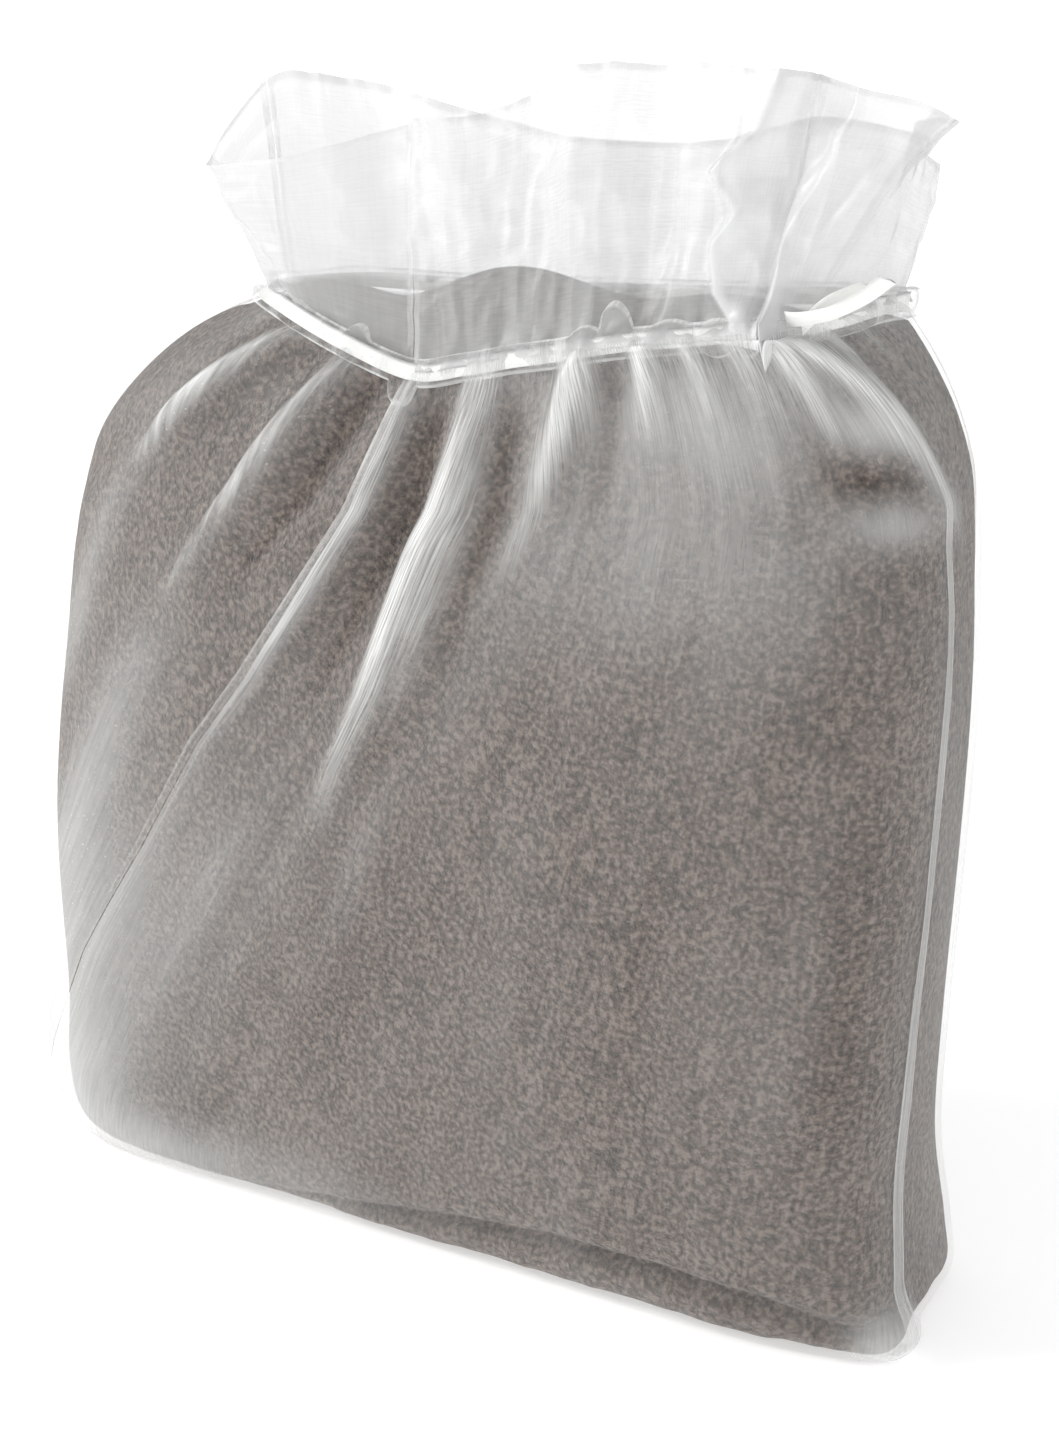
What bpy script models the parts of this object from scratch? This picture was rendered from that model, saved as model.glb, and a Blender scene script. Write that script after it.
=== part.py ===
"""An organza drawstring bag filled by a folded fleece blanket. Metres, +Z up, front to -Y."""

import bpy
import numpy as np

# Main sizes, in metres
HALF_WIDTH = 0.200
HALF_DEPTH = 0.060
NECK_HEIGHT = 0.385
RUFFLE_HEIGHT = 0.085

# The flat part of the bottom that it stands on, the rounding of its corners, and how far its
# rim stands off the floor
SOLE_HALF_LENGTH = 0.172
SOLE_HALF_WIDTH = 0.038
SOLE_CORNER = 0.013
SOLE_LIFT = 0.0012

# Cloth and trim
CLOTH = 0.0010
GAP = 0.0003
CORNER_GAP = 0.0010
PLEAT_DEPTH = 0.0030
SEAM_WIDTH = 0.008
RIBBON_WIDTH = 0.0065
RIBBON = 0.0010
CASING_MARGIN = 0.0018
TRIM_STAND = 0.0018
LONG_TAIL_LENGTH = 0.0345
SHORT_TAIL_LENGTH = 0.022
TAIL_SLANT = 0.004

# The folded blanket inside
BLANKET_CLEARANCE = 0.0020
DOME_RISE = 0.018

# The bag from the floor to the neck. Heights are shares of NECK_HEIGHT, left and right are
# shares of HALF_WIDTH, front and rear of HALF_DEPTH, and square is how boxy the plan is
SECTIONS = np.array([
    # height, left, right, front, rear, square
    (0.000, 0.975, 1.010, 0.98, 0.88, 6.0),
    (0.018, 1.035, 1.025, 1.06, 0.96, 5.8),
    (0.070, 1.085, 1.012, 1.09, 1.00, 5.0),
    (0.170, 1.100, 0.990, 1.09, 1.02, 4.3),
    (0.320, 1.095, 0.995, 1.09, 1.04, 4.0),
    (0.480, 1.070, 1.010, 1.08, 1.04, 3.7),
    (0.620, 1.035, 1.020, 1.06, 1.03, 3.4),
    (0.740, 0.995, 1.020, 1.03, 1.00, 3.2),
    (0.830, 0.945, 1.010, 0.98, 0.96, 3.0),
    (0.900, 0.895, 0.990, 0.92, 0.90, 2.8),
    (0.950, 0.840, 0.950, 0.85, 0.82, 2.6),
    (0.985, 0.740, 0.890, 0.76, 0.72, 2.4),
])

# Where the four seams stand round the bag, a quarter for each side of the plan: 0 is the
# middle of the front and 0.25 the right end. The left gusset is drawn round to the front
SEAMS = np.array([
    # height, rear left, front left, front right, rear right
    (0.00, -0.295, -0.208, 0.215, 0.300),
    (0.10, -0.295, -0.196, 0.222, 0.304),
    (0.25, -0.290, -0.168, 0.230, 0.306),
    (0.40, -0.284, -0.132, 0.233, 0.304),
    (0.54, -0.276, -0.102, 0.234, 0.300),
    (0.63, -0.272, -0.076, 0.234, 0.294),
    (0.74, -0.266, -0.048, 0.234, 0.286),
    (0.84, -0.260, -0.024, 0.230, 0.277),
    (1.00, -0.250, 0.000, 0.210, 0.262),
])

# The same seams in the flat cloth, as shares of its width round the bag
CLOTH_SEAMS = np.array([-0.29, -0.21, 0.21, 0.29])

# The gathered neck. Round is the share of the cloth, x and y are shares of HALF_WIDTH and
# HALF_DEPTH, z of NECK_HEIGHT
NECK = np.array([
    # round, x, y, z
    (-0.42, -0.080, 0.62, 1.006),
    (-0.34, -0.340, 0.50, 1.010),
    (-0.29, -0.480, 0.10, 1.006),
    (-0.27, -0.455, -0.28, 1.002),
    (-0.25, -0.330, -0.58, 0.990),
    (-0.23, -0.180, -0.68, 0.962),
    (-0.21, -0.020, -0.70, 0.936),
    (-0.15, 0.110, -0.72, 0.945),
    (-0.08, 0.250, -0.74, 0.958),
    (0.00, 0.410, -0.75, 0.973),
    (0.08, 0.570, -0.73, 0.984),
    (0.15, 0.690, -0.68, 0.992),
    (0.21, 0.780, -0.58, 1.000),
    (0.25, 0.840, -0.30, 1.010),
    (0.29, 0.850, 0.12, 1.012),
    (0.34, 0.780, 0.48, 1.012),
    (0.42, 0.560, 0.62, 1.008),
    (0.50, 0.260, 0.64, 1.006),
])

# The free rim of the ruffle. Rise is a share of RUFFLE_HEIGHT above NECK_HEIGHT
RIM = np.array([
    # round, x, y, rise
    (-0.42, -0.130, 0.75, 0.84),
    (-0.36, -0.400, 0.80, 1.00),
    (-0.32, -0.520, 0.70, 1.04),
    (-0.29, -0.620, 0.50, 1.02),
    (-0.265, -0.665, 0.05, 0.65),
    (-0.245, -0.420, -0.55, 0.62),
    (-0.23, -0.250, -0.62, 0.68),
    (-0.21, -0.055, -0.50, 0.79),
    (-0.15, 0.080, -0.60, 0.80),
    (-0.10, 0.200, -0.42, 0.88),
    (-0.05, 0.320, -0.62, 0.99),
    (0.02, 0.470, -0.45, 1.01),
    (0.09, 0.640, -0.60, 0.97),
    (0.14, 0.760, -0.40, 0.93),
    (0.18, 0.860, -0.62, 0.88),
    (0.21, 0.955, -0.50, 0.82),
    (0.25, 0.880, -0.20, 0.72),
    (0.29, 0.920, 0.05, 0.60),
    (0.34, 0.800, 0.60, 0.74),
    (0.40, 0.620, 0.50, 0.80),
    (0.46, 0.420, 0.78, 0.72),
    (0.52, 0.160, 0.60, 0.72),
])

# Ridges in the cloth. Top and foot are shares of the cloth, high and low the heights where
# the ridge starts and dies, peak how far down it is highest, rise in metres, and spread its
# half width as a share of the cloth
FOLDS = np.array([
    # top, foot, high, low, peak, rise, spread
    (-0.238, -0.250, 1.000, 0.840, 0.40, 0.0080, 0.011),
    (-0.222, -0.232, 1.000, 0.690, 0.40, 0.0090, 0.011),
    (-0.203, -0.203, 1.000, 0.420, 0.30, 0.0060, 0.018),
    (-0.140, -0.118, 1.000, 0.440, 0.35, 0.0120, 0.020),
    (-0.010, -0.060, 1.000, 0.820, 0.30, 0.0060, 0.014),
    (0.040, 0.020, 1.000, 0.880, 0.30, 0.0050, 0.012),
    (0.150, 0.190, 1.000, 0.880, 0.30, 0.0060, 0.014),
    (-0.090, -0.085, 0.560, 0.300, 0.40, 0.0030, 0.014),
    (-0.165, -0.160, 0.480, 0.240, 0.40, 0.0030, 0.014),
    (0.210, 0.210, 0.070, -0.020, 0.70, 0.0080, 0.016),
    (0.430, 0.400, 1.000, 0.560, 0.30, 0.0070, 0.020),
    (-0.460, -0.440, 1.000, 0.700, 0.30, 0.0060, 0.018),
    (-0.380, -0.350, 1.000, 0.500, 0.30, 0.0070, 0.020),
])

# How the blanket's top closes over: how much it shrinks in plan, and its share of DOME_RISE
DOME = np.array([
    # shrink, lift
    (0.90, 0.45),
    (0.66, 0.80),
    (0.34, 0.96),
])

# How its underside rounds in: how much it shrinks in plan, and its share of SOLE_LIFT
FOOT = np.array([
    # shrink, lift
    (0.66, 0.00),
    (0.90, 1.30),
])

# The drawstring's two free ends, from where each leaves the casing: to the right, outward
# and up, as shares of its length
LONG_TAIL = np.array([
    # right, out, up
    (0.00, 0.00, 0.00),
    (0.20, 0.09, 0.01),
    (0.52, 0.12, 0.08),
    (0.80, 0.06, 0.22),
    (1.00, -0.02, 0.38),
])
SHORT_TAIL = np.array([
    # right, out, up
    (0.00, 0.00, 0.00),
    (0.22, 0.08, 0.20),
    (0.52, 0.09, 0.42),
    (1.00, -0.02, 0.62),
])

# How far down from the neck the small gathers reach, as a share of the height
GATHER_REACH = 0.10

# The gathers fade out this near a seam, as a share of the cloth
SEAM_CALM = 0.03
SHOULDER = 0.83


def along(table, at):
    """Reads a table smoothly at fractional row numbers."""
    at = np.atleast_1d(np.asarray(at, float))
    last = len(table) - 1
    low = np.clip(np.floor(at).astype(int), 0, last - 1)
    f = (at - low)[:, None]
    a, b, c, d = (table[np.clip(low + k, 0, last)] for k in (-1, 0, 1, 2))
    turn = c - a + f * (2 * a - 5 * b + 4 * c - d) + f * f * (3 * (b - c) + d - a)
    return b + 0.5 * f * turn


def around(table, share):
    """Reads a closed table smoothly, by the share of the cloth in its first column."""
    rows = len(table)
    wrapped = np.vstack([table, table, table])
    wrapped[:rows, 0] -= 1
    wrapped[2 * rows:, 0] += 1
    at = np.interp(share, wrapped[:, 0], np.arange(3 * rows))
    return along(wrapped[:, 1:], at)


def plan_point(section, share):
    """Points of one section at shares round it, a quarter of the shares to each quarter."""
    height, left, right, front, rear, square = section
    turn = np.linspace(0, np.pi / 2, 65)
    lobe = np.column_stack([np.sin(turn), np.cos(turn)]) ** (2 / square)
    points = np.empty((len(share), 2))
    share = np.mod(share, 1.0)
    quarters = ((right, -front), (right, rear), (-left, rear), (-left, -front))
    for quarter, (side, face) in enumerate(quarters):
        here = np.floor(share * 4).astype(int) == quarter
        local = share[here] * 4 - quarter
        if quarter in (1, 3):
            local = 1 - local
        corner = lobe * (side * HALF_WIDTH, face * HALF_DEPTH)
        step = np.linalg.norm(np.diff(corner, axis=0), axis=1)
        length = np.concatenate([[0], np.cumsum(step)])
        length /= length[-1]
        points[here, 0] = np.interp(local, length, corner[:, 0])
        points[here, 1] = np.interp(local, length, corner[:, 1])
    return points


def neck_point(share):
    return around(NECK, share) * (HALF_WIDTH, HALF_DEPTH, NECK_HEIGHT)


def rim_point(share):
    row = around(RIM, share)
    rise = NECK_HEIGHT + row[:, 2] * RUFFLE_HEIGHT
    return np.column_stack([row[:, 0] * HALF_WIDTH, row[:, 1] * HALF_DEPTH, rise])


def body_point(share, up):
    """The bag's outside at shares of the cloth, up from the floor (0) to the neck (1)."""
    section = along(SECTIONS, up * (len(SECTIONS) - 1))[0]
    height = section[0]
    seams = [np.interp(height, SEAMS[:, 0], SEAMS[:, k]) for k in (1, 2, 3, 4)]
    known = np.concatenate([[seams[3] - 1], seams, [seams[0] + 1]])
    cloth = np.concatenate([[CLOTH_SEAMS[3] - 1], CLOTH_SEAMS, [CLOTH_SEAMS[0] + 1]])
    share = np.mod(np.asarray(share, float) + 0.5, 1.0) - 0.5
    plan = plan_point(section, np.interp(share, cloth, known))
    neck = neck_point(share)
    sag = (neck[:, 2] - NECK_HEIGHT) * height ** 3
    points = np.column_stack([plan, height * NECK_HEIGHT + sag + SOLE_LIFT * (1 - height)])
    blend = max(0.0, (height - SHOULDER) / (SECTIONS[-1, 0] - SHOULDER)) ** 2
    return points * (1 - blend) + neck * blend


def base_point(share, up):
    """The smooth surface: up is 0 to 1 over the body and 1 to 2 over the ruffle."""
    if up <= 1:
        return body_point(share, up)
    blend = up - 1
    return neck_point(share) * (1 - blend) + rim_point(share) * blend


def normals_of(share, up):
    """Unit vectors pointing out of the smooth surface."""
    side = base_point(share + 0.002, up) - base_point(share - 0.002, up)
    low = max(up - 0.01, 0.0)
    high = min(up + 0.01, 2.0)
    rise = base_point(share, high) - base_point(share, low)
    out = np.cross(side, rise)
    return out / np.linalg.norm(out, axis=1)[:, None]


def fold_rise(share, height):
    """How far the folds of the table stand off the smooth surface."""
    total = np.zeros(len(share))
    for top, foot, high, low, peak, rise, spread in FOLDS:
        way = (high - height) / (high - low)
        if not 0 < way < 1:
            continue
        centre = top + (foot - top) * way
        off = np.mod(share - centre + 0.5, 1.0) - 0.5
        strength = way / peak if way < peak else (1 - way) / (1 - peak)
        ridge = np.clip(1 - (off / spread) ** 2, 0, 1) ** 2
        total += rise * ridge * strength * strength * (3 - 2 * strength)
    return total


# The cloth is laid out in columns, four to a gather. Each panel's columns crowd toward its
# seams, where the corners are
PANEL_COLUMNS = {"left": 12, "front": 30, "right": 8, "rear": 30}
BODY_ROWS = 15
CASING_FOOT = 0.93
RUFFLE_ROWS = 5
BOTTOM_ROWS = 4
TAIL_STEPS = 8
LONG_TAIL_COLUMN = 37
SHORT_TAIL_COLUMN = 39


def panel_shares(start, end, count):
    """Shares of the cloth for the columns of one panel."""
    step = np.arange(count + 1) / count
    crowded = 0.4 * step + 0.3 * (1 - np.cos(np.pi * step))
    return start + (end - start) * crowded


def column_shares():
    """Shares of all the columns, once round the bag from the rear left seam."""
    ends = np.append(CLOTH_SEAMS, CLOTH_SEAMS[0] + 1)
    shares = [
        panel_shares(ends[k], ends[k + 1], count)[:-1]
        for k, count in enumerate(PANEL_COLUMNS.values())
    ]
    return np.concatenate(shares)


def cloth_rows():
    """The outside of the folded and gathered cloth, one closed row of points at a time."""
    share = column_shares()
    gather = (1 + np.cos(np.arange(len(share)) * np.pi / 2)) / 2
    uneven = 0.7 + 0.3 * np.sin(6 * np.pi * share + 0.6)
    off_seam = np.abs(np.mod(share[:, None] - CLOTH_SEAMS + 0.5, 1.0) - 0.5).min(axis=1)
    pleat = PLEAT_DEPTH * gather * uneven * np.minimum(1, off_seam / SEAM_CALM)
    first = 1 + 1.2 * (RIBBON_WIDTH / 2 + CASING_MARGIN) / RUFFLE_HEIGHT
    ups = [*np.linspace(0, CASING_FOOT, BODY_ROWS), 1, *np.linspace(first, 2, RUFFLE_ROWS)]
    rows = []
    for up in ups:
        if up <= 1:
            height = along(SECTIONS, up * (len(SECTIONS) - 1))[0, 0]
            pull = max(0.0, (height - 1 + GATHER_REACH) / GATHER_REACH)
            stand = fold_rise(share, height) + pleat * pull
        else:
            stand = pleat * (1 + 0.6 * (up - 1))
        if up == 0:
            stand = stand * 0
        rows.append(base_point(share, up) + normals_of(share, up) * stand[:, None])
    return np.array(rows)


def unit(steps):
    return steps / np.linalg.norm(steps, axis=-1)[..., None]


def normals_from(grid):
    """Outward vectors at the points of a grid of closed rows, longer where the wall bends."""
    onward = unit(np.roll(grid, -1, axis=1) - grid)
    behind = np.roll(onward, 1, axis=1)
    upward = unit(np.diff(grid, axis=0))
    above = np.concatenate([upward, upward[-1:]])
    below = np.concatenate([upward[:1], upward])
    out = unit(np.cross(behind + onward, below + above))
    across = np.linalg.norm(behind + onward, axis=2) / 2
    upright = np.linalg.norm(below + above, axis=2) / 2
    return out / np.maximum(across * upright, 0.5)[:, :, None]


def between(grid, column):
    """A column of the grid at a fractional number, straight between its neighbours."""
    low = int(np.floor(column))
    part = column - low
    count = grid.shape[1]
    return grid[:, low % count] * (1 - part) + grid[:, (low + 1) % count] * part


def columns_between(grid, first, last, gap):
    """The columns from one seam to the next, stopping half a gap short of each."""
    picked = [between(grid, first)]
    picked += [between(grid, column) for column in range(first + 1, last)]
    picked.append(between(grid, last))
    picked = np.array(picked)
    for edge, inner in ((0, 1), (-1, -2)):
        step = picked[inner] - picked[edge]
        length = np.linalg.norm(step, axis=1)[:, None]
        picked[edge] = picked[edge] + step * (gap / length)
    return picked.transpose(1, 0, 2)


def new_material(name, color, alpha, roughness):
    material = bpy.data.materials.new(name)
    material.use_nodes = True
    shader = material.node_tree.nodes["Principled BSDF"]
    shader.inputs["Base Color"].default_value = (*color, 1)
    shader.inputs["Alpha"].default_value = alpha
    shader.inputs["Roughness"].default_value = roughness
    return material


def new_object(name, points, faces, look, thickness=0.0, outward=False):
    mesh = bpy.data.meshes.new(name)
    mesh.from_pydata([tuple(point) for point in points], [], faces)
    mesh.update()
    made = bpy.data.objects.new(name, mesh)
    pieces.objects.link(made)
    mesh.materials.append(new_material(name, *look))
    if thickness:
        wall = made.modifiers.new("wall", "SOLIDIFY")
        wall.thickness = thickness
        wall.offset = 1 if outward else -1
        wall.use_even_offset = True
    return made


def sheet_faces(rows, columns, closed=False):
    """Faces of a sheet whose rows rise while its columns run to the right, seen from outside."""
    faces = []
    for row in range(rows - 1):
        for column in range(columns if closed else columns - 1):
            right = (column + 1) % columns
            low = row * columns
            high = low + columns
            faces.append((low + column, low + right, high + right, high + column))
    return faces


def new_sheet(name, grid, look, closed=False, thickness=CLOTH, outward=False):
    rows, columns = grid.shape[:2]
    faces = sheet_faces(rows, columns, closed)
    return new_object(name, grid.reshape(-1, 3), faces, look, thickness, outward)


def bottom_rows(left, right, columns):
    """The bottom between the side panels' lowest rows: a flat sole that rises at its rim."""
    inside = panel_shares(-SOLE_HALF_LENGTH, SOLE_HALF_LENGTH, columns - 3)
    past_corner = np.maximum(0, np.abs(inside) - SOLE_HALF_LENGTH + SOLE_CORNER)
    rounded = SOLE_CORNER - np.sqrt(np.maximum(0, SOLE_CORNER ** 2 - past_corner ** 2))
    rows = []
    for k in range(1, BOTTOM_ROWS):
        back = k / BOTTOM_ROWS
        reach = (SOLE_HALF_WIDTH - rounded) * (2 * k - BOTTOM_ROWS) / (BOTTOM_ROWS - 2)
        sole = np.column_stack([inside, reach, inside * 0])
        ends = [side[round(back * (len(side) - 1))] for side in (left, right)]
        rows.append(np.vstack([ends[0], sole, ends[1]]))
    return np.array(rows)


def seam_strip(grid, out, column):
    """A narrow strip inside the wall, over the seam at this column."""
    inner = grid - out * (CLOTH + 3 * GAP)
    rows = inner[2:]
    width = SEAM_WIDTH / 2
    strip = [None, rows[:, column % grid.shape[1]], None]
    for slot, side in ((0, -1), (2, 1)):
        step = rows[:, (column + side) % grid.shape[1]] - strip[1]
        length = np.linalg.norm(step, axis=1)[:, None]
        strip[slot] = strip[1] + step * np.minimum(width / length, 0.9)
    return np.array(strip).transpose(1, 0, 2)


def neck_band(grid, out, drops, stands):
    """Closed rows beside the neck: each goes down (below 0) or up by its drop, then outward."""
    neck = grid[BODY_ROWS]
    down = grid[BODY_ROWS - 1] - neck
    rise = grid[BODY_ROWS + 1] - neck
    down = down / np.linalg.norm(down, axis=1)[:, None]
    rise = rise / np.linalg.norm(rise, axis=1)[:, None]
    away = out[BODY_ROWS]
    rows = []
    for drop, stand in zip(drops, stands):
        way = rise * drop if drop > 0 else down * -drop
        rows.append(neck + way + away * stand)
    return np.array(rows)


def blanket_rows():
    """Closed rows of the folded blanket, inside the bag and domed up into its mouth."""
    inset = 2 * (CLOTH + GAP) + BLANKET_CLEARANCE
    share = column_shares()[::2]
    rows = []
    for k in range(BODY_ROWS + 1):
        up = k / BODY_ROWS
        points = base_point(share, up) - normals_of(share, up) * inset
        rows.append(points)
    rows = [row for row in rows if row[:, 2].min() > SOLE_LIFT + 2 * BLANKET_CLEARANCE]
    floor = rows[0] * (1, 1, 0) + (0, 0, CLOTH + GAP)
    centre = floor.mean(axis=0)
    foot = [centre + (floor - centre) * shrink + (0, 0, lift * SOLE_LIFT) for shrink, lift in FOOT]
    rows = foot + rows
    rim = rows[-1]
    centre = rim.mean(axis=0)
    for shrink, lift in DOME:
        rows.append(centre + (rim - centre) * (shrink, shrink, 1) + (0, 0, lift * DOME_RISE))
    return np.array(rows)


def new_blanket(name, rows, look):
    """A closed body lofted through the rows, with a flat bottom and a small flat top."""
    count, columns = rows.shape[:2]
    points = list(rows.reshape(-1, 3))
    faces = sheet_faces(count, columns, closed=True)
    points.append(rows[0].mean(axis=0))
    points.append(rows[-1].mean(axis=0))
    bottom = count * columns
    top = bottom + 1
    last = (count - 1) * columns
    for column in range(columns):
        right = (column + 1) % columns
        faces.append((right, column, bottom))
        faces.append((last + column, last + right, top))
    return new_object(name, points, faces, look)


def new_tail(name, table, root, lean, length, look):
    """A free end of the ribbon, from its root along the table's points to a slanted end."""
    stations = np.linspace(0, len(table) - 1, TAIL_STEPS + 1)
    shares = along(table, stations)
    middle = root + np.column_stack([shares[:, 0], -shares[:, 1], shares[:, 2]]) * length
    way = np.gradient(middle, axis=0)
    onward = np.linspace(0, 1, TAIL_STEPS + 1)[:, None]
    across = unit(unit(np.cross((0.0, -1.0, 0.0), way)) * onward + lean * (1 - onward))
    low = middle - across * RIBBON_WIDTH / 2
    high = middle + across * RIBBON_WIDTH / 2
    low[-1] = low[-1] + unit(way[-1]) * TAIL_SLANT
    return new_sheet(name, np.array([low, high]), look, thickness=RIBBON)


for old in list(bpy.data.objects):
    bpy.data.objects.remove(old, do_unlink=True)
pieces = bpy.data.collections.new("organza_bag")
bpy.context.scene.collection.children.link(pieces)

ORGANZA = ((0.86, 0.87, 0.85), 0.35, 0.45)
TRIM = ((0.90, 0.91, 0.89), 0.60, 0.50)
SATIN = ((0.93, 0.93, 0.90), 1.00, 0.30)
FLEECE = ((0.42, 0.36, 0.31), 1.00, 0.90)

cloth = cloth_rows()
outward = normals_from(cloth)
edge = CORNER_GAP / 2
seam_left_rear = 0
seam_left_front = PANEL_COLUMNS["left"]
seam_right_front = seam_left_front + PANEL_COLUMNS["front"]
seam_right_rear = seam_right_front + PANEL_COLUMNS["right"]
last_column = seam_right_rear + PANEL_COLUMNS["rear"]

front = columns_between(cloth, seam_left_front, seam_right_front, edge)
rear = columns_between(cloth, seam_right_rear, last_column, edge)
left = columns_between(cloth, seam_left_rear, seam_left_front, edge)
right = columns_between(cloth, seam_right_front, seam_right_rear, edge)
bottom = bottom_rows(left[0, ::-1], right[0], front.shape[1])
main = np.concatenate([rear[::-1, ::-1], bottom[::-1], front])
new_sheet("main_panel", main, ORGANZA)

lift = np.array((0.0, 0.0, CLOTH + GAP))
left[0] = left[0] + lift
right[0] = right[0] + lift
new_sheet("left_gusset", left, ORGANZA)
new_sheet("right_gusset", right, ORGANZA)

for name, column in (
    ("rear_left_seam", seam_left_rear),
    ("front_left_seam", seam_left_front),
    ("front_right_seam", seam_right_front),
    ("rear_right_seam", seam_right_rear),
):
    new_sheet(name, seam_strip(cloth, outward, column), TRIM)

near = RIBBON_WIDTH / 2
far = near + CASING_MARGIN
ribbon = neck_band(cloth, outward, (-near, near), (TRIM_STAND, TRIM_STAND))
new_sheet("drawstring", ribbon, SATIN, closed=True, thickness=RIBBON, outward=True)
clear = TRIM_STAND + RIBBON + 2 * GAP
inner = near + CASING_MARGIN / 3
stands = (TRIM_STAND, clear, clear, TRIM_STAND)
casing = neck_band(cloth, outward, (-far, -inner, inner, far), stands)
new_sheet("casing", casing, TRIM, closed=True, thickness=CLOTH, outward=True)
off_casing = CLOTH + GAP + RIBBON
for name, table, column, length in (
    ("long_tail", LONG_TAIL, LONG_TAIL_COLUMN, LONG_TAIL_LENGTH),
    ("short_tail", SHORT_TAIL, SHORT_TAIL_COLUMN, SHORT_TAIL_LENGTH),
):
    face = (casing[1, column] + casing[2, column]) / 2
    root = face + unit(outward[BODY_ROWS, column]) * off_casing
    lean = unit(casing[2, column] - casing[1, column])
    new_tail(name, table, root, lean, length, SATIN)

new_blanket("folded_blanket", blanket_rows(), FLEECE)
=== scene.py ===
"""Looks of the organza drawstring bag and the fleece blanket in it."""
import math
import bpy
import numpy as np
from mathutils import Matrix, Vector, noise


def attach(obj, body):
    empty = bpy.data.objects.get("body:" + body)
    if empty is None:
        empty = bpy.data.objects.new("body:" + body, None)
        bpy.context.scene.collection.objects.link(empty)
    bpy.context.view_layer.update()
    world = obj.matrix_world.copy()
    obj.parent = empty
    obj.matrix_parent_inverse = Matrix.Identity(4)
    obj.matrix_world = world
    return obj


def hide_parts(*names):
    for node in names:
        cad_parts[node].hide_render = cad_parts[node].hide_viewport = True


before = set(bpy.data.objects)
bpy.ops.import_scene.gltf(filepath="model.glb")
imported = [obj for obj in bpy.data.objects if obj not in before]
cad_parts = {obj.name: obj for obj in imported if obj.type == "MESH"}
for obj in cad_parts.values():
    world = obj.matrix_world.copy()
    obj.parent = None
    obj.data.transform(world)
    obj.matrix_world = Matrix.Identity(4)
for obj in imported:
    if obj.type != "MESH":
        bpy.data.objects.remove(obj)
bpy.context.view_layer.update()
rng = np.random.default_rng(7)

# Main sizes, in metres
HALF_WIDTH = 0.200
HALF_DEPTH = 0.060
NECK_HEIGHT = 0.385
RUFFLE_HEIGHT = 0.085

# How far the bottom's rim stands off the floor
SOLE_LIFT = 0.0012

# The bag from the floor to the neck. Heights are shares of NECK_HEIGHT, left and right are
# shares of HALF_WIDTH, front and rear of HALF_DEPTH, and square is how boxy the plan is
SECTIONS = np.array([
    # height, left, right, front, rear, square
    (0.000, 0.975, 1.010, 0.98, 0.88, 6.0),
    (0.018, 1.035, 1.025, 1.06, 0.96, 5.8),
    (0.070, 1.085, 1.012, 1.09, 1.00, 5.0),
    (0.170, 1.100, 0.990, 1.09, 1.02, 4.3),
    (0.320, 1.095, 0.995, 1.09, 1.04, 4.0),
    (0.480, 1.070, 1.010, 1.08, 1.04, 3.7),
    (0.620, 1.035, 1.020, 1.06, 1.03, 3.4),
    (0.740, 0.995, 1.020, 1.03, 1.00, 3.2),
    (0.830, 0.945, 1.010, 0.98, 0.96, 3.0),
    (0.900, 0.895, 0.990, 0.92, 0.90, 2.8),
    (0.950, 0.840, 0.950, 0.85, 0.82, 2.6),
    (0.985, 0.740, 0.890, 0.76, 0.72, 2.4),
])

# Where the four seams stand round the bag, a quarter for each side of the plan: 0 is the
# middle of the front and 0.25 the right end. The left gusset is drawn round to the front
SEAMS = np.array([
    # height, rear left, front left, front right, rear right
    (0.00, -0.295, -0.208, 0.215, 0.300),
    (0.10, -0.295, -0.196, 0.222, 0.304),
    (0.25, -0.290, -0.168, 0.230, 0.306),
    (0.40, -0.284, -0.132, 0.233, 0.304),
    (0.54, -0.276, -0.102, 0.234, 0.300),
    (0.63, -0.272, -0.076, 0.234, 0.294),
    (0.74, -0.266, -0.048, 0.234, 0.286),
    (0.84, -0.260, -0.024, 0.230, 0.277),
    (1.00, -0.250, 0.000, 0.210, 0.262),
])

# The same seams in the flat cloth, as shares of its width round the bag
CLOTH_SEAMS = np.array([-0.29, -0.21, 0.21, 0.29])

# The gathered neck. Round is the share of the cloth, x and y are shares of HALF_WIDTH and
# HALF_DEPTH, z of NECK_HEIGHT
NECK = np.array([
    # round, x, y, z
    (-0.42, -0.080, 0.62, 1.006),
    (-0.34, -0.340, 0.50, 1.010),
    (-0.29, -0.480, 0.10, 1.006),
    (-0.27, -0.455, -0.28, 1.002),
    (-0.25, -0.330, -0.58, 0.990),
    (-0.23, -0.180, -0.68, 0.962),
    (-0.21, -0.020, -0.70, 0.936),
    (-0.15, 0.110, -0.72, 0.945),
    (-0.08, 0.250, -0.74, 0.958),
    (0.00, 0.410, -0.75, 0.973),
    (0.08, 0.570, -0.73, 0.984),
    (0.15, 0.690, -0.68, 0.992),
    (0.21, 0.780, -0.58, 1.000),
    (0.25, 0.840, -0.30, 1.010),
    (0.29, 0.850, 0.12, 1.012),
    (0.34, 0.780, 0.48, 1.012),
    (0.42, 0.560, 0.62, 1.008),
    (0.50, 0.260, 0.64, 1.006),
])

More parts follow.
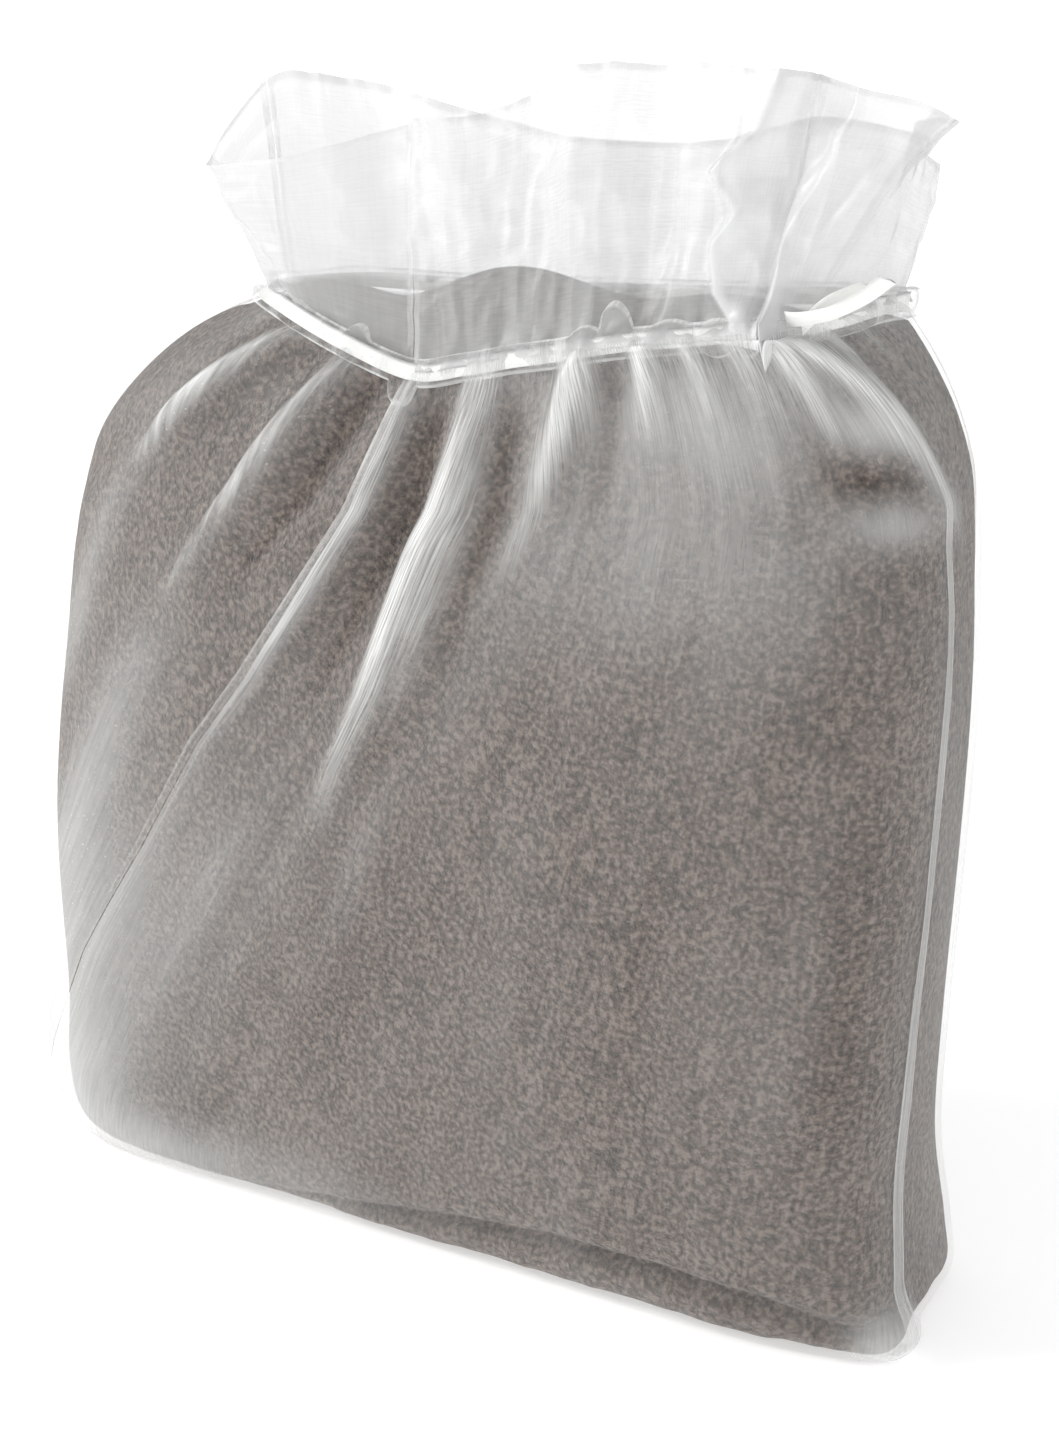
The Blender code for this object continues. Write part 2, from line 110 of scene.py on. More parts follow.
# The free rim of the ruffle. Rise is a share of RUFFLE_HEIGHT above NECK_HEIGHT
RIM = np.array([
    # round, x, y, rise
    (-0.42, -0.130, 0.75, 0.84),
    (-0.36, -0.400, 0.80, 1.00),
    (-0.32, -0.520, 0.70, 1.04),
    (-0.29, -0.620, 0.50, 1.02),
    (-0.265, -0.665, 0.05, 0.65),
    (-0.245, -0.420, -0.55, 0.62),
    (-0.23, -0.250, -0.62, 0.68),
    (-0.21, -0.055, -0.50, 0.79),
    (-0.15, 0.080, -0.60, 0.80),
    (-0.10, 0.200, -0.42, 0.88),
    (-0.05, 0.320, -0.62, 0.99),
    (0.02, 0.470, -0.45, 1.01),
    (0.09, 0.640, -0.60, 0.97),
    (0.14, 0.760, -0.40, 0.93),
    (0.18, 0.860, -0.62, 0.88),
    (0.21, 0.955, -0.50, 0.82),
    (0.25, 0.880, -0.20, 0.72),
    (0.29, 0.920, 0.05, 0.60),
    (0.34, 0.800, 0.60, 0.74),
    (0.40, 0.620, 0.50, 0.80),
    (0.46, 0.420, 0.78, 0.72),
    (0.52, 0.160, 0.60, 0.72),
])

SHOULDER = 0.83


def along(table, at):
    """Reads a table smoothly at fractional row numbers."""
    at = np.atleast_1d(np.asarray(at, float))
    last = len(table) - 1
    low = np.clip(np.floor(at).astype(int), 0, last - 1)
    f = (at - low)[:, None]
    a, b, c, d = (table[np.clip(low + k, 0, last)] for k in (-1, 0, 1, 2))
    turn = c - a + f * (2 * a - 5 * b + 4 * c - d) + f * f * (3 * (b - c) + d - a)
    return b + 0.5 * f * turn


def around(table, share):
    """Reads a closed table smoothly, by the share of the cloth in its first column."""
    rows = len(table)
    wrapped = np.vstack([table, table, table])
    wrapped[:rows, 0] -= 1
    wrapped[2 * rows:, 0] += 1
    at = np.interp(share, wrapped[:, 0], np.arange(3 * rows))
    return along(wrapped[:, 1:], at)


def plan_point(section, share):
    """Points of one section at shares round it, a quarter of the shares to each quarter."""
    height, left, right, front, rear, square = section
    turn = np.linspace(0, np.pi / 2, 65)
    lobe = np.column_stack([np.sin(turn), np.cos(turn)]) ** (2 / square)
    points = np.empty((len(share), 2))
    share = np.mod(share, 1.0)
    quarters = ((right, -front), (right, rear), (-left, rear), (-left, -front))
    for quarter, (side, face) in enumerate(quarters):
        here = np.floor(share * 4).astype(int) == quarter
        local = share[here] * 4 - quarter
        if quarter in (1, 3):
            local = 1 - local
        corner = lobe * (side * HALF_WIDTH, face * HALF_DEPTH)
        step = np.linalg.norm(np.diff(corner, axis=0), axis=1)
        length = np.concatenate([[0], np.cumsum(step)])
        length /= length[-1]
        points[here, 0] = np.interp(local, length, corner[:, 0])
        points[here, 1] = np.interp(local, length, corner[:, 1])
    return points


def neck_point(share):
    return around(NECK, share) * (HALF_WIDTH, HALF_DEPTH, NECK_HEIGHT)


def rim_point(share):
    row = around(RIM, share)
    rise = NECK_HEIGHT + row[:, 2] * RUFFLE_HEIGHT
    return np.column_stack([row[:, 0] * HALF_WIDTH, row[:, 1] * HALF_DEPTH, rise])


def body_point(share, up):
    """The bag's outside at shares of the cloth, up from the floor (0) to the neck (1)."""
    section = along(SECTIONS, up * (len(SECTIONS) - 1))[0]
    height = section[0]
    seams = [np.interp(height, SEAMS[:, 0], SEAMS[:, k]) for k in (1, 2, 3, 4)]
    known = np.concatenate([[seams[3] - 1], seams, [seams[0] + 1]])
    cloth = np.concatenate([[CLOTH_SEAMS[3] - 1], CLOTH_SEAMS, [CLOTH_SEAMS[0] + 1]])
    share = np.mod(np.asarray(share, float) + 0.5, 1.0) - 0.5
    plan = plan_point(section, np.interp(share, cloth, known))
    neck = neck_point(share)
    sag = (neck[:, 2] - NECK_HEIGHT) * height ** 3
    points = np.column_stack([plan, height * NECK_HEIGHT + sag + SOLE_LIFT * (1 - height)])
    blend = max(0.0, (height - SHOULDER) / (SECTIONS[-1, 0] - SHOULDER)) ** 2
    return points * (1 - blend) + neck * blend


def base_point(share, up):
    """The smooth surface: up is 0 to 1 over the body and 1 to 2 over the ruffle."""
    if up <= 1:
        return body_point(share, up)
    blend = up - 1
    return neck_point(share) * (1 - blend) + rim_point(share) * blend


def normals_of(share, up):
    """Unit vectors pointing out of the smooth surface."""
    side = base_point(share + 0.002, up) - base_point(share - 0.002, up)
    low = max(up - 0.01, 0.0)
    high = min(up + 0.01, 2.0)
    rise = base_point(share, high) - base_point(share, low)
    out = np.cross(side, rise)
    return out / np.linalg.norm(out, axis=1)[:, None]


# Ridges and troughs of the visible cloth. Top and foot are shares of the cloth, high and low
# the heights between which the ridge runs, peak how far down it is highest, rise in metres,
# left and right its half widths in metres, and painted light how much whiter it is: a painted
# highlight along a ridge, and painted shade in a trough where it is negative
RIDGES = np.array([
    # top, foot, high, low, peak, rise, left, right, painted light
    (-0.2400, -0.2560, 1.00, 0.820, 0.62, 0.0100, 0.007, 0.010, 0.50),
    (-0.2250, -0.2370, 1.00, 0.680, 0.40, 0.0110, 0.006, 0.010, 0.42),
    (-0.2090, -0.2080, 1.00, 0.500, 0.35, 0.0060, 0.006, 0.009, 0.50),
    (-0.1430, -0.1180, 1.00, 0.440, 0.38, 0.0150, 0.009, 0.014, 0.72),
    (-0.1250, -0.1020, 0.97, 0.560, 0.40, 0.0070, 0.008, 0.012, 0.30),
    (-0.1720, -0.1600, 1.00, 0.560, 0.40, -0.0060, 0.011, 0.011, -0.12),
    (-0.2170, -0.2250, 1.00, 0.700, 0.40, -0.0060, 0.008, 0.008, -0.10),
    (-0.1080, -0.0900, 1.00, 0.640, 0.35, -0.0040, 0.009, 0.011, -0.10),
    (-0.0150, -0.0700, 1.00, 0.840, 0.35, 0.0080, 0.006, 0.010, 0.60),
    (-0.0500, -0.0850, 1.00, 0.700, 0.45, 0.0050, 0.010, 0.012, 0.20),
    (0.0000, -0.0300, 1.00, 0.800, 0.35, -0.0030, 0.008, 0.010, -0.10),
    (0.0350, 0.0150, 1.00, 0.880, 0.35, 0.0070, 0.006, 0.008, 0.50),
    (0.0700, 0.0700, 1.00, 0.900, 0.35, 0.0050, 0.006, 0.008, 0.32),
    (0.0950, 0.1100, 1.00, 0.900, 0.35, 0.0040, 0.006, 0.008, 0.25),
    (0.1300, 0.1500, 1.00, 0.880, 0.35, 0.0070, 0.006, 0.008, 0.50),
    (0.1600, 0.2080, 1.00, 0.885, 0.40, 0.0070, 0.006, 0.008, 0.50),
    (0.1750, 0.2200, 1.00, 0.780, 0.45, 0.0050, 0.007, 0.010, 0.30),
    (-0.0900, -0.0850, 0.58, 0.280, 0.40, 0.0030, 0.011, 0.013, 0.08),
    (-0.1620, -0.1570, 0.50, 0.220, 0.40, 0.0030, 0.011, 0.013, 0.08),
    (0.2100, 0.2100, 0.07, -0.02, 0.70, 0.0080, 0.014, 0.014, 0.30),
    (0.4300, 0.4000, 1.00, 0.560, 0.30, 0.0090, 0.013, 0.017, 0.30),
    (-0.4600, -0.4400, 1.00, 0.640, 0.30, 0.0080, 0.011, 0.015, 0.30),
    (-0.3800, -0.3500, 1.00, 0.500, 0.30, 0.0090, 0.013, 0.017, 0.30),
    (0.3500, 0.3600, 1.00, 0.700, 0.35, 0.0060, 0.009, 0.011, 0.25),
])

# Soft patches where slack cloth stands off the fleece and catches the light. Place and
# height are shares, wide and tall their half sizes in metres, rise in metres, and sheen how
# much whiter they are: painted sheen, and painted shade where it is negative
PATCHES = np.array([
    # place, height, wide, tall, rise, sheen
    (0.0100, 0.770, 0.036, 0.034, 0.0016, 0.10),
    (0.0660, 0.795, 0.034, 0.040, 0.0012, 0.08),
    (0.1090, 0.750, 0.024, 0.034, 0.0010, 0.07),
    (0.0530, 0.870, 0.055, 0.030, 0.0010, 0.14),
    (0.0240, 0.920, 0.030, 0.016, 0.0010, 0.12),
    (0.0890, 0.900, 0.030, 0.014, 0.0010, 0.12),
    (-0.0450, 0.829, 0.022, 0.034, 0.0010, 0.07),
    (-0.0590, 0.705, 0.022, 0.060, 0.0010, 0.03),
    (0.1860, 0.892, 0.014, 0.007, 0.0020, 0.30),
    (0.1710, 0.829, 0.018, 0.009, 0.0018, 0.26),
    (0.1630, 0.862, 0.018, 0.007, -0.0024, -0.16),
    (0.1050, 0.835, 0.018, 0.010, -0.0014, -0.06),
    (-0.2200, 0.200, 0.026, 0.090, 0.0014, 0.38),
    (-0.1950, 0.080, 0.034, 0.034, 0.0014, 0.34),
    (-0.1450, 0.030, 0.060, 0.016, 0.0010, 0.26),
    (-0.2350, 0.420, 0.020, 0.090, 0.0010, 0.30),
    (-0.2560, 0.660, 0.012, 0.070, 0.0010, 0.20),
    (-0.1700, 0.200, 0.034, 0.090, 0.0010, 0.15),
    (-0.0600, 0.040, 0.060, 0.016, 0.0010, 0.08),
    (0.2500, 0.400, 0.030, 0.180, 0.0008, 0.14),
    (0.1970, 0.022, 0.011, 0.011, 0.0010, 0.42),
])

# Folds of the ruffle: neck and rim are shares of the cloth, rise in metres at the rim, and painted
# light how much whiter each is: painted highlight, painted shade where negative
RUFFLE_FOLDS = np.array([
    # neck, rim, rise, left, right, painted light
    (-0.2450, -0.2600, 0.0060, 0.010, 0.022, 0.10),
    (-0.2100, -0.2100, 0.0030, 0.002, 0.010, 0.08),
    (-0.1700, -0.1750, 0.0050, 0.012, 0.022, 0.05),
    (-0.1000, -0.1200, 0.0050, 0.014, 0.024, 0.06),
    (-0.0300, -0.0400, 0.0060, 0.016, 0.020, 0.06),
    (0.0200, 0.0100, -0.0050, 0.010, 0.020, -0.05),
    (0.0500, 0.0500, 0.0050, 0.008, 0.020, 0.08),
    (0.1300, 0.1300, -0.0040, 0.006, 0.010, -0.08),
    (0.1450, 0.1550, 0.0060, 0.006, 0.014, 0.14),
    (0.1650, 0.1850, 0.0060, 0.006, 0.012, 0.12),
    (0.1850, 0.2080, 0.0050, 0.005, 0.010, 0.12),
    (0.2350, 0.2500, 0.0060, 0.008, 0.014, 0.10),
    (0.3300, 0.3400, 0.0070, 0.014, 0.022, 0.06),
    (0.4100, 0.4000, 0.0060, 0.014, 0.022, 0.06),
    (0.4800, 0.4900, 0.0070, 0.014, 0.022, 0.06),
    (-0.4300, -0.4200, 0.0060, 0.014, 0.022, 0.06),
    (-0.3500, -0.3600, 0.0060, 0.014, 0.022, 0.06),
])

# The wavy left edge of the ruffle's right fan: way up the ruffle, and share of the cloth
FAN_EDGE = np.array([
    (0.00, 0.1130), (0.16, 0.0910), (0.35, 0.0860), (0.46, 0.0970), (0.54, 0.0900), (0.61, 0.0810),
    (0.68, 0.0900), (0.77, 0.1010), (1.00, 0.1050),
])

# Where the cloth is drawn tight round the ribbon's exit, as a share of it, how far to each
# side, and how much of its width there is taken up
BUNCH = 0.158
BUNCH_SPREAD = 0.045
BUNCH_TAKE = 0.72

# Puffs of the casing: place, half width, and reach above and below the neck, in metres
PUFFS = np.array([
    # place, half width, above, below
    (-0.2450, 0.007, 0.006, 0.006),
    (-0.2260, 0.006, 0.010, 0.006),
    (-0.2120, 0.005, 0.003, 0.014),
    (-0.1600, 0.012, 0.002, 0.004),
    (-0.0900, 0.012, 0.002, 0.005),
    (-0.0200, 0.008, 0.008, 0.005),
    (0.0100, 0.007, 0.015, 0.004),
    (0.0600, 0.010, 0.007, 0.005),
    (0.1050, 0.008, 0.006, 0.008),
    (0.1350, 0.005, 0.003, 0.009),
    (0.1800, 0.006, 0.004, 0.007),
    (0.2300, 0.008, 0.005, 0.005),
    (0.2900, 0.010, 0.004, 0.004),
    (0.3600, 0.010, 0.005, 0.005),
    (0.4300, 0.012, 0.004, 0.006),
    (-0.4900, 0.012, 0.005, 0.004),
    (-0.4100, 0.010, 0.004, 0.006),
    (-0.3300, 0.010, 0.005, 0.005),
    (-0.2800, 0.008, 0.005, 0.005),
])

# The groove between the blanket's lowest fold and the next, seen from the front
LOW_FOLD = np.array([
    # place, height in metres, depth
    (-0.24, 0.001, 0.0000),
    (-0.10, 0.002, 0.0000),
    (-0.05, 0.006, 0.0040),
    (0.00, 0.014, 0.0060),
    (0.066, 0.020, 0.0075),
    (0.15, 0.018, 0.0070),
    (0.19, 0.012, 0.0050),
    (0.23, 0.010, 0.0000),
])

# The cloth's width round the bag, its length up the body and up the ruffle, and the gap
# between two panels at a seam, in metres
GIRTH = 1.04
BODY_LENGTH = 0.41
RUFFLE_LENGTH = 0.09
SEAM_GAP = 0.0006

# The blanket's underside: how far out each row lies, as a share of the lowest side row,
# and its height in metres
FOOT_ROWS = (
    (0.985, 0.0042), (0.94, 0.0026), (0.86, 0.0018), (0.6, 0.0015), (0.3, 0.0014), (0.02, 0.0014),
)

# The ribbon's width and thickness, in metres
RIBBON_WIDTH = 0.0065
RIBBON_THICKNESS = 0.0004


def gather_table(count):
    """Small irregular gathers round the neck: place, slant, reach, rise and width."""
    place = (np.arange(count) + rng.uniform(-0.36, 0.36, count)) / count - 0.5
    slant = rng.uniform(-0.010, 0.010, count)
    reach = rng.uniform(0.035, 0.15, count)
    rise = rng.uniform(0.0012, 0.0044, count)
    width = rng.uniform(0.0022, 0.0048, count)
    return np.column_stack([place, slant, reach, rise, width])


GATHERS = gather_table(84)


def wrapped(off):
    return np.mod(off + 0.5, 1.0) - 0.5


def hump(off, left, right):
    """A rounded ridge, 1 at the middle, with its own half width on each side."""
    side = np.where(off < 0, left, right)
    return np.exp(-(off / side) ** 2)


def relief(share, up, height, local, gathers=True):
    """How far the folds stand off the smooth surface, how much whiter they are (painted highlight
    on crests, painted shade in troughs, some bunched cloth), and painted sheen where the cloth is
    slack."""
    stand = np.zeros(len(share))
    layers_and_painted_light = np.zeros(len(share))
    painted_sheen_and_shade = np.zeros(len(share))
    if up <= 1:
        for top, foot, high, low, peak, rise, left, right, white in RIDGES:
            way = (high - height) / (high - low)
            if not 0 < way < 1:
                continue
            off = wrapped(share - top - (foot - top) * way) * local
            strength = way / peak if way < peak else (1 - way) / (1 - peak)
            strength = strength * strength * (3 - 2 * strength)
            stand += rise * hump(off, left, right) * strength
            # The crest, a little to one side, is whitened: painted highlight; a negative value
            # paints shade in a trough
            layers_and_painted_light += white * hump(off - 0.1 * right, left * 0.55, right * 0.55) * strength ** 0.7
        for place, level, wide, tall, rise, white in PATCHES:
            off = wrapped(share - place) * local / wide
            rest = (height - level) * NECK_HEIGHT / tall
            blot = np.exp(-off * off - rest * rest)
            stand += rise * blot
            # Painted sheen on the patch, painted shade where negative
            painted_sheen_and_shade += white * blot
    else:
        way = up - 1
        edge_at = np.interp(way, FAN_EDGE[:, 0], FAN_EDGE[:, 1])
        off = wrapped(share - edge_at) * local
        stand += 0.013 * hump(off, 0.003, 0.024) * (0.3 + 0.7 * way)
        # The fan's folded edge is whitened: painted highlight
        layers_and_painted_light += 0.26 * hump(off, 0.0016, 0.020) + 0.30 * hump(off, 0.0012, 0.0022)
        for neck, rim, rise, left, right, white in RUFFLE_FOLDS:
            off = wrapped(share - neck - (rim - neck) * way) * local
            wide = 0.35 + 0.65 * way
            fold = hump(off, left * wide, right * wide)
            stand += rise * fold * (0.25 + 0.75 * way)
            # Each ruffle fold is whitened: painted highlight, painted shade where negative
            layers_and_painted_light += white * hump(off, left * wide * 0.6, right * wide) * (1 - 0.5 * way)
    for place, slant, reach, rise, width in GATHERS if gathers else ():
        if up <= 1:
            depth = (1 - height) / reach
            if depth >= 1:
                continue
            fade = (1 - depth) ** 1.5
            off = wrapped(share - place - slant * depth) * local
            wide = width * (1 + 1.5 * depth)
        else:
            fade = math.exp(-(up - 1) / (0.6 * reach))
            off = wrapped(share - place + 0.5 * slant * (up - 1)) * local
            wide = width * (1 + 1.6 * (up - 1))
        bump = hump(off, wide * 0.8, wide * 1.2) * fade
        stand += rise * bump
        # Each gather's crest is whiter: partly bunched cloth, partly painted highlight
        layers_and_painted_light += (0.20 if up <= 1 else 0.08) * bump
    return stand, layers_and_painted_light, painted_sheen_and_shade


def drawn(shares, up):
    """Where the cloth's shares lie once it is drawn together at the bunch."""
    off = shares - BUNCH
    near = math.exp(-((up - 1) / (0.16 if up < 1 else 0.55)) ** 2)
    return shares - BUNCH_TAKE * near * off * np.exp(-(off / BUNCH_SPREAD) ** 2)


def ripple(share, up):
    """Low uneven swells of slack cloth."""
    out = np.empty(len(share))
    for i, value in enumerate(share):
        angle = value * 2 * math.pi
        ring = (math.cos(angle), math.sin(angle))
        swell = noise.noise(Vector((ring[0] * 3.2, ring[1] * 3.2, up * 2.6)))
        small = noise.noise(Vector((ring[0] * 13, ring[1] * 13, up * 3.0)))
        crease = abs(noise.noise(Vector((ring[0] * 7, ring[1] * 7, up * 5.0 + 9))))
        out[i] = 0.0016 * swell + 0.0007 * small - 0.0016 * crease
    return out * (1 + 1.6 * max(0.0, up - 1))


def cover(share, up):
    """How white the cloth is above the neck, before its folds."""
    if up <= 1:
        return np.zeros(len(share))
    way = up - 1
    fan = np.exp(-(wrapped(share - 0.165) / 0.055) ** 2)
    lobe = np.exp(-(wrapped(share + 0.235) / 0.030) ** 2)
    return 0.08 * (1 - way) ** 3 + 0.14 * fan + 0.06 * lobe + 0.22 * (way > 0.972)


def cloth_grid(shares, ups):
    """Points, and whiteness (painted highlight and shade, some real layers) and painted sheen,
    over a grid of shares of the cloth and heights.
    """
    rows, shades = [], []
    for up in ups:
        height = along(SECTIONS, up * (len(SECTIONS) - 1))[0, 0] if up <= 1 else 1.0
        place = drawn(shares, up)
        base = base_point(place, up)
        ahead = base_point(drawn(shares + 0.001, up), up)
        local = np.linalg.norm(ahead - base, axis=1) / 0.001
        stand, layers_and_painted_light, painted_sheen_and_shade = relief(shares, up, height, local)
        edge = min(1.0, up * 12)
        stand = (stand + ripple(shares, up)) * edge
        rows.append(base + normals_of(place, up) * stand[:, None])
        shades.append(np.column_stack([layers_and_painted_light * edge + cover(shares, up), painted_sheen_and_shade * edge]))
    return np.array(rows), np.array(shades)


def sheet_object(name, grid, layers_and_painted_light, uv, material, closed=False, upper=None, upper_rows=()):
    """A smooth mesh over a grid of points, with its whiteness, partly painted highlight, sheen and
    shade, and its cloth coordinates. The faces of upper_rows take the material upper."""
    rows, columns = grid.shape[:2]
    index = np.arange(rows * columns).reshape(rows, columns)
    right = np.roll(index, -1, axis=1)
    if not closed:
        index, right = index[:, :-1], right[:, :-1]
    quads = np.stack([index[:-1], right[:-1], right[1:], index[1:]], axis=-1).reshape(-1, 4)
    mesh = bpy.data.meshes.new(name)
    mesh.from_pydata(grid.reshape(-1, 3).tolist(), [], quads.tolist())
    mesh.polygons.foreach_set("use_smooth", [True] * len(mesh.polygons))
    layer = mesh.uv_layers.new(name="cloth")
    corner = np.empty(len(mesh.loops), np.int32)
    mesh.loops.foreach_get("vertex_index", corner)
    layer.data.foreach_set("uv", uv.reshape(-1, 2)[corner].ravel())
    both = layers_and_painted_light if layers_and_painted_light.ndim == 3 else np.stack([layers_and_painted_light, layers_and_painted_light * 0], axis=-1)
    for which, label in enumerate(("layers_and_painted_light", "painted_sheen_and_shade")):
        shade = mesh.attributes.new(label, "FLOAT", "POINT")
        shade.data.foreach_set("value", np.clip(both[:, :, which], -1, 1).ravel())
    mesh.materials.append(material)
    if upper:
        mesh.materials.append(upper)
        each_row = np.isin(np.arange(rows - 1), upper_rows).astype(int)
        across = len(quads) // (rows - 1)
        mesh.polygons.foreach_set("material_index", np.repeat(each_row, across))
    mesh.update()
    made = bpy.data.objects.new(name, mesh)
    bpy.context.scene.collection.objects.link(made)
    return made


class Nodes:
    """A short way to write a material's nodes."""

    def __init__(self, name):
        self.material = bpy.data.materials.new(name)
        self.material.use_nodes = True
        self.tree = self.material.node_tree
        self.shader = self.tree.nodes["Principled BSDF"]

    def add(self, kind, **settings):
        node = self.tree.nodes.new("ShaderNode" + kind)
        for key, value in settings.items():
            setattr(node, key, value)
        return node

    def put(self, value, socket):
        if isinstance(value, bpy.types.NodeSocket):
            self.tree.links.new(value, socket)
        else:
            socket.default_value = value

    def math(self, operation, a, b=0.0, clamp=False):
        node = self.add("Math", operation=operation, use_clamp=clamp)
        self.put(a, node.inputs[0])
        self.put(b, node.inputs[1])
        return node.outputs[0]

    def remap(self, value, low, high, new_low, new_high):
        node = self.add("MapRange")
        self.put(value, node.inputs[0])
        for socket, number in zip(node.inputs[1:5], (low, high, new_low, new_high)):
            socket.default_value = number
        return node.outputs[0]

    def noise(self, vector, scale, detail=2.0, rough=0.5):
        node = self.add("TexNoise")
        self.put(vector, node.inputs["Vector"])
        node.inputs["Scale"].default_value = scale
        node.inputs["Detail"].default_value = detail
        node.inputs["Roughness"].default_value = rough
        return node.outputs["Fac"]

    def stretch(self, vector, factors):
        node = self.add("VectorMath", operation="MULTIPLY")
        self.put(vector, node.inputs[0])
        node.inputs[1].default_value = factors
        return node.outputs[0]

    def ramp(self, value, stops):
        node = self.add("ValToRGB")
        self.put(value, node.inputs[0])
        ramp = node.color_ramp
        while len(ramp.elements) < len(stops):
            ramp.elements.new(0.5)
        for element, (place, color) in zip(ramp.elements, stops):
            element.position = place
            element.color = (*color, 1)
        return node.outputs[0]

    def bump(self, height, strength, distance):
        node = self.add("Bump")
        self.put(height, node.inputs["Height"])
        node.inputs["Strength"].default_value = strength
        node.inputs["Distance"].default_value = distance
        self.tree.links.new(node.outputs[0], self.shader.inputs["Normal"])

    def set(self, **numbers):
        for key, value in numbers.items():
            self.shader.inputs[key.replace("_", " ")].default_value = value


def organza(name, base_cover, streakiness=1.0, tint=(0.86, 0.87, 0.86)):
    """Sheer silky weave: how much of the light it stops, with painted highlight, sheen and shade
    from its points' attributes, and its fibres and shine.
    """
    m = Nodes(name)
    uv = m.add("UVMap", uv_map="cloth").outputs[0]
    fibre = m.noise(m.stretch(uv, (820, 34, 1)), 1.0, 3.0, 0.6)
    weft = m.noise(m.stretch(uv, (60, 1300, 1)), 1.0, 2.0, 0.5)
    cloud = m.noise(m.stretch(uv, (16, 10, 1)), 1.0, 2.0, 0.5)
    speck = m.noise(m.stretch(uv, (1500, 1500, 1)), 1.0, 1.0, 0.5)
    # Whiteness set on each point: painted highlight and shade on the folds, and real doubled cloth
    # at seams, hems and gathers
    layers_and_painted_light = m.add("Attribute", attribute_name="layers_and_painted_light").outputs["Fac"]
    swing = 0.45 * streakiness
    thread = m.remap(fibre, 0.36, 0.64, 1 - swing, 1 + swing)
    streak = m.math("MULTIPLY", layers_and_painted_light, thread)
    swing = 0.30 * streakiness
    soft_thread = m.remap(fibre, 0.3, 0.7, 1 - swing, 1 + swing)
    weave = m.remap(weft, 0.3, 0.7, 0.93, 1.07)
    body = m.math("MULTIPLY", m.math("MULTIPLY", soft_thread, weave), base_cover)
    patch = m.remap(cloud, 0.30, 0.7, -0.03, 0.04)
    glint = m.math("MULTIPLY", m.remap(speck, 0.70, 0.76, 0.0, 0.45), streakiness)
    # Painted sheen of the slack patches whitens the cloth, and painted shade darkens it where
    # negative
    painted_sheen_and_shade = m.add("Attribute", attribute_name="painted_sheen_and_shade").outputs["Fac"]
    painted_sheen_and_shade = m.math("MULTIPLY", painted_sheen_and_shade, m.remap(fibre, 0.3, 0.7, 0.90, 1.10))
    patch = m.math("ADD", patch, painted_sheen_and_shade)
    alpha = m.math("ADD", m.math("ADD", body, patch), m.math("ADD", streak, glint))
    alpha = m.math("MINIMUM", m.math("MAXIMUM", alpha, 0.03), 0.93)
    m.tree.links.new(alpha, m.shader.inputs["Alpha"])
    m.set(Roughness=0.38, Anisotropic=0.7, Specular_IOR_Level=0.6)
    m.set(Sheen_Weight=0.35, Sheen_Roughness=0.35)
    m.shader.inputs["Base Color"].default_value = (*tint, 1)
    m.bump(m.math("ADD", fibre, weft), 0.25 * streakiness, 0.0004)
    return m.material


def satin(name):
    """White satin ribbon with fine threads along it."""
    m = Nodes(name)
    uv = m.add("UVMap", uv_map="cloth").outputs[0]
    thread = m.noise(m.stretch(uv, (120, 4200, 1)), 1.0, 2.0, 0.5)
    m.tree.links.new(
        m.ramp(thread, ((0.3, (0.90, 0.90, 0.88)), (0.7, (0.98, 0.98, 0.96)))),
        m.shader.inputs["Base Color"],
    )
    m.set(Roughness=0.3, Anisotropic=0.6, Sheen_Weight=0.2)
    m.bump(thread, 0.3, 0.0002)
    return m.material


def fleece(name):
    """Short taupe plush, mottled where the pile leans, with faint rows along its length."""
    m = Nodes(name)
    place = m.add("TexCoord").outputs["Object"]
    uv = m.add("UVMap", uv_map="cloth").outputs[0]
    mottle = m.noise(place, 430.0, 3.0, 0.5)
    patch = m.noise(place, 24.0, 3.0, 0.55)
    rows = m.noise(m.stretch(uv, (420, 60, 1)), 1.0, 2.0, 0.5)
    pile = m.noise(place, 1500.0, 2.0, 0.6)
    mixed = m.math("ADD", m.math("MULTIPLY", mottle, 0.72), m.math("MULTIPLY", patch, 0.12))
    mixed = m.math("ADD", mixed, m.math("MULTIPLY", rows, 0.16))
    colour = m.ramp(mixed, (
        (0.38, (0.044, 0.030, 0.023)),
        (0.50, (0.124, 0.091, 0.073)),
        (0.62, (0.256, 0.202, 0.167)),
    ))
    m.tree.links.new(colour, m.shader.inputs["Base Color"])
    m.set(Roughness=0.95, Specular_IOR_Level=0.12, Sheen_Weight=0.35, Sheen_Roughness=0.6)
    height = m.math("ADD", mottle, m.math("MULTIPLY", pile, 0.4))
    m.bump(m.math("ADD", height, m.math("MULTIPLY", rows, 0.3)), 1.0, 0.0022)
    return m.material


def ride(piece, nodes):
    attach(piece, "root")
    if nodes:
        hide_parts(*nodes)


def panel(start, end, columns):
    """Shares of the cloth over one panel, stopping just short of its seams."""
    shares = np.linspace(start, end, columns)
    gap = SEAM_GAP / GIRTH / 2
    shares[0] += gap
    shares[-1] -= gap
    return shares


def ups_for(body_rows, ruffle_rows):
    body = np.linspace(0, 1, body_rows) ** 0.85
    return np.concatenate([body, 1 + np.linspace(0, 1, ruffle_rows + 1)[1:]])


def up_metres(ups):
    """Length of the cloth from the floor to each row."""
    return np.where(ups <= 1, ups * BODY_LENGTH, BODY_LENGTH + (ups - 1) * RUFFLE_LENGTH)


def cloth_uv(shares, metres):
    return np.stack(np.meshgrid(np.asarray(shares) * GIRTH, metres), axis=-1)


ups = ups_for(230, 64)
metres = up_metres(ups)
CLOTH_LOOK = organza("organza", 0.085)
